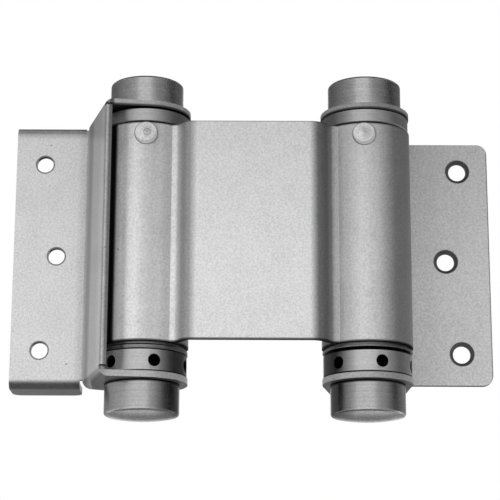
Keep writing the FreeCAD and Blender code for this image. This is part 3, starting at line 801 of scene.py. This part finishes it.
# %% Helper: a screen that only reflections see
def make_screen_material(name):
    material, tree, shader = new_material(name)
    shader.inputs["Base Color"].default_value = (0.0, 0.0, 0.0, 1.0)
    shader.inputs["Roughness"].default_value = 1.0
    shader.inputs["Specular IOR Level"].default_value = 0.0
    shader.inputs["Emission Strength"].default_value = 1.0
    return material, tree, shader


def only_in_reflections(screen):
    screen.visible_camera = False
    screen.visible_diffuse = False
    screen.visible_shadow = False


# %% Helper: levels on a curved screen
SHADE_START, SHADE_END = 0.12, 0.40
LEVEL_BELOW, LEVEL_ABOVE = 1.30, 0.75


def azimuth_of(tree, coords):
    """A point's direction from the hinge in degrees, 0 at the front and positive to the right."""
    about = place(tree, "ShaderNodeMapping", Vector=coords, Location=-centre).outputs[0]
    at = place(tree, "ShaderNodeSeparateXYZ", Vector=about).outputs
    angle = maths(tree, "ARCTAN2", at["X"], maths(tree, "MULTIPLY", at["Y"], -1.0))
    return maths(tree, "MULTIPLY", angle, 180.0 / math.pi)


def fill_ramp(ramp, stops):
    """Each stop is an azimuth in degrees and the level there."""
    start, stop = stops[0][0], stops[-1][0]
    elements = ramp.color_ramp.elements
    for azimuth, level in stops[1:-1]:
        element = elements.new((azimuth - start) / (stop - start))
        element.color = (level, level, level, 1.0)
    for number, (_, level) in ((0, stops[0]), (len(elements) - 1, stops[-1])):
        elements[number].color = (level, level, level, 1.0)


def make_screen_levels(name, stops):
    material, tree, shader = make_screen_material(name)
    coords = place(tree, "ShaderNodeTexCoord").outputs["Object"]
    along = spread(tree, azimuth_of(tree, coords), stops[0][0], stops[-1][0], 0.0, 1.0)
    ramp = place(tree, "ShaderNodeValToRGB", Fac=along)
    fill_ramp(ramp, stops)
    height = place(tree, "ShaderNodeSeparateXYZ", Vector=coords).outputs["Z"]
    start, end = centre.z + SHADE_START, centre.z + SHADE_END
    scale = spread(tree, height, start, end, LEVEL_BELOW, LEVEL_ABOVE)
    scaled = place(tree, "ShaderNodeVectorMath", {"operation": "SCALE"}, Scale=scale)
    tree.links.new(ramp.outputs["Color"], scaled.inputs[0])
    tree.links.new(scaled.outputs["Vector"], shader.inputs["Emission Color"])
    return material


# %% Curved screens at the sides
SCREEN_DISTANCE = 1.0
SCREEN_LOW = -0.31
SCREEN_HIGH = 0.60
LEFT_STOPS = (
    (-168, 0.70), (-155, 0.26), (-128, 0.36), (-105, 0.46),
    (-88, 0.50), (-68, 0.50), (-48, 0.58), (-28, 0.80),
)
RIGHT_STOPS = (
    (12, 0.90), (24, 0.52), (36, 0.40), (55, 0.30), (70, 0.14),
    (88, 0.03), (104, 0.14), (125, 0.20), (150, 0.25), (165, 0.70),
)


def make_curved_screen(name, stops):
    """An upright line, spun about the hinge from the first azimuth to the last."""
    start, stop = stops[0][0], stops[-1][0]
    shape = bmesh.new()
    first = Matrix.Rotation(math.radians(start), 4, "Z") @ Vector((0, -SCREEN_DISTANCE, 0))
    low = shape.verts.new(centre + first + Vector((0, 0, SCREEN_LOW)))
    high = shape.verts.new(centre + first + Vector((0, 0, SCREEN_HIGH)))
    edge = shape.edges.new((low, high))
    bmesh.ops.spin(
        shape, geom=[low, high, edge], cent=centre, axis=(0, 0, 1), dvec=(0, 0, 0),
        angle=math.radians(stop - start), steps=24,
    )
    screen = add_object(name, shape)
    screen.data.materials.append(make_screen_levels(name, stops))
    only_in_reflections(screen)
    print(name, "from", start, "to", stop, "degrees")


make_curved_screen("left_screen", LEFT_STOPS)
make_curved_screen("right_screen", RIGHT_STOPS)

# %% Dark canopy above and dark tables below
def make_dark_disc(name, height, depth, radius, level):
    shape = bmesh.new()
    bmesh.ops.create_circle(shape, cap_ends=True, segments=48, radius=radius)
    bmesh.ops.translate(shape, vec=centre + Vector((0, depth, height)), verts=shape.verts)
    disc = add_object(name, shape)
    material, _, shader = make_screen_material(name)
    shader.inputs["Emission Color"].default_value = (level, level, level, 1.0)
    disc.data.materials.append(material)
    only_in_reflections(disc)
    print(name, "at height", height, "with level", level)


make_dark_disc("canopy", height=0.60, depth=0.0, radius=0.80, level=0.10)
make_dark_disc("table", height=-0.30, depth=-0.30, radius=0.60, level=0.20)
make_dark_disc("far_table", height=-0.30, depth=1.20, radius=0.80, level=0.25)

# %% [markdown]
# ## Lamps
# A large softbox at the front left is the key light, and a faint one at the right fills its
# shadows. A wide light from straight above whitens the floor and leaves upright faces alone. No
# lamp shows in a reflection, because the screens alone decide what the metal mirrors.

# %% Lamps
OVERHEAD_HEIGHT = 1.0


def add_lamp(name, lamp, location):
    item = bpy.data.objects.new(name, lamp)
    item.location = location
    item.visible_glossy = False
    bpy.context.collection.objects.link(item)
    print("lamp:", name, "with energy", lamp.energy)
    return item


def make_softbox(name, azimuth, elevation, distance, width, height, power):
    lamp = bpy.data.lights.new(name, "AREA")
    lamp.shape = "RECTANGLE"
    lamp.size = width
    lamp.size_y = height
    lamp.energy = power
    az, el = math.radians(azimuth), math.radians(elevation)
    away = Vector((math.sin(az) * math.cos(el), -math.cos(az) * math.cos(el), math.sin(el)))
    item = add_lamp(name, lamp, centre + away * distance)
    item.rotation_euler = away.to_track_quat("Z", "Y").to_euler()
    item.visible_camera = False


def make_overhead(name, strength, angle):
    lamp = bpy.data.lights.new(name, "SUN")
    lamp.energy = strength
    lamp.angle = math.radians(angle)
    add_lamp(name, lamp, centre + Vector((0, 0, OVERHEAD_HEIGHT)))


make_softbox(
    "key_softbox", azimuth=-42.0, elevation=12.0, distance=1.1, width=0.9, height=0.7, power=7.0)
make_softbox(
    "fill_softbox", azimuth=35.0, elevation=-5.0, distance=1.3, width=0.8, height=0.8, power=1.0)
make_overhead("overhead", strength=1.8, angle=20.0)

# %% [markdown]
# ## Floor
# The hinge hangs in the air in front of the camera, well above a pale floor that carries its
# soft shadow. The floor takes its white from its own colour and from the overhead lamp.

# %% Floor
FLOOR_DROP = 0.32
FLOOR_SIZE = 6.0
FLOOR_TONES = (0.88, 0.92)


def make_floor():
    shape = bmesh.new()
    bmesh.ops.create_grid(shape, x_segments=1, y_segments=1, size=FLOOR_SIZE / 2)
    bmesh.ops.translate(shape, vec=centre - Vector((0, 0, FLOOR_DROP)), verts=shape.verts)
    floor = add_object("floor", shape)
    material, tree, shader = new_material("pale_floor")
    coords = place(tree, "ShaderNodeTexCoord").outputs["Object"]
    level = noise_between(tree, noise(tree, coords, scale=400.0, detail=3.0), *FLOOR_TONES)
    colour = place(tree, "ShaderNodeCombineColor", Red=level, Green=level, Blue=level)
    tree.links.new(colour.outputs["Color"], shader.inputs["Base Color"])
    shader.inputs["Roughness"].default_value = 0.9
    floor.data.materials.append(material)
    return floor


print("floor:", [round(v, 2) for v in make_floor().dimensions], "m")

# %% [markdown]
# ## Camera
# The photograph looks straight at the web from a little below, from about half a metre away. The
# values below put the camera there: where it aims, how far off it stands, how steeply it looks
# up, and the slight roll that the print has.

# %% Camera
AIM = Vector((-1.64, 0.0, -2.78)) * MM
DISTANCE = 545.0 * MM
LOOK_UP = math.radians(14.75)
ROLL = math.radians(-0.2)
FOCAL = 127.08
SENSOR = 36.0


def make_camera():
    data = bpy.data.cameras.new("camera")
    data.lens = FOCAL
    data.sensor_width = SENSOR
    data.sensor_fit = "HORIZONTAL"
    forward = Vector((0, math.cos(LOOK_UP), math.sin(LOOK_UP)))
    right = Vector((1, 0, 0))
    up = right.cross(forward)
    turned_right = right * math.cos(ROLL) - up * math.sin(ROLL)
    turned_up = up * math.cos(ROLL) + right * math.sin(ROLL)
    facing = Matrix((turned_right, turned_up, -forward)).transposed()
    camera = bpy.data.objects.new("camera", data)
    camera.matrix_world = Matrix.Translation(centre + AIM - forward * DISTANCE) @ facing.to_4x4()
    bpy.context.collection.objects.link(camera)
    bpy.context.scene.camera = camera
    return camera


camera = make_camera()
bpy.context.scene.view_settings.view_transform = "Standard"
print("camera at mm:", [round(v / MM, 1) for v in camera.location])
